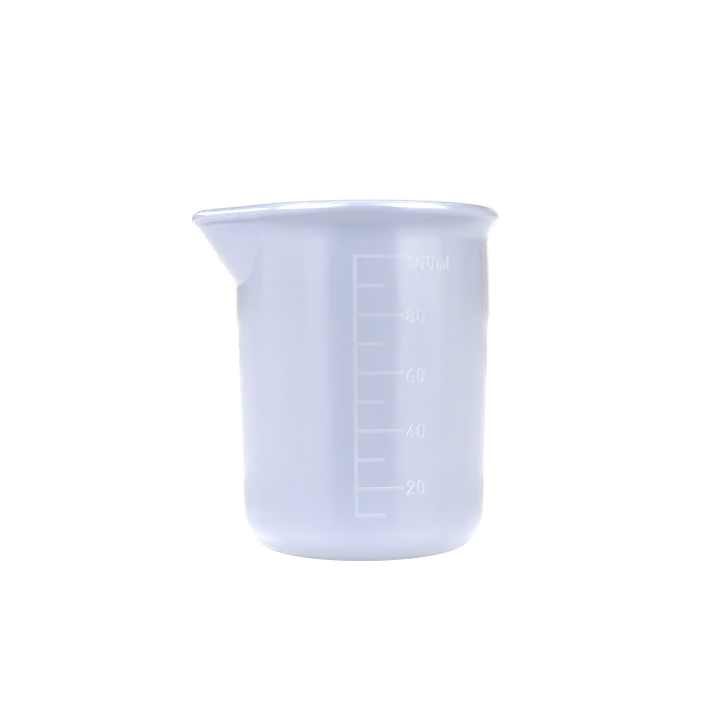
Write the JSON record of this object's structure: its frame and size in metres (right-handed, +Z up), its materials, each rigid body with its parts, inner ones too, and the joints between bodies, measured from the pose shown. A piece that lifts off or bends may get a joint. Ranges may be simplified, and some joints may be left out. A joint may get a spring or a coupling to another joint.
{
  "type": "measuring cup",
  "caption": "Soft translucent silicone measuring cup with a rolled lip, a wide pouring spout and a raised millilitre scale, for mixing and casting resin.",
  "frame": {"origin": "centre of the flat base, on the surface that the cup stands on", "axes": "+Z up along the cup's axis, -X towards the pouring spout, -Y towards the raised scale"},
  "size_m": [0.064, 0.0568, 0.07],
  "materials": {
    "silicone": "milky translucent silicone with a faint blue cast and a satin moulded skin",
    "scale": "the same silicone, raised, with a paler matt face"
  },
  "bodies": {
    "root": {"cup_body": "silicone", "scale_line": "scale", "mark_10ml": "scale", "mark_20ml": "scale", "mark_30ml": "scale", "mark_40ml": "scale", "mark_50ml": "scale", "mark_60ml": "scale", "mark_70ml": "scale", "mark_80ml": "scale", "mark_90ml": "scale", "mark_100ml": "scale", "numeral_20": "scale", "numeral_40": "scale", "numeral_60": "scale", "numeral_80": "scale", "numeral_100": "scale", "unit_ml": "scale"}
  },
  "joints": []
}
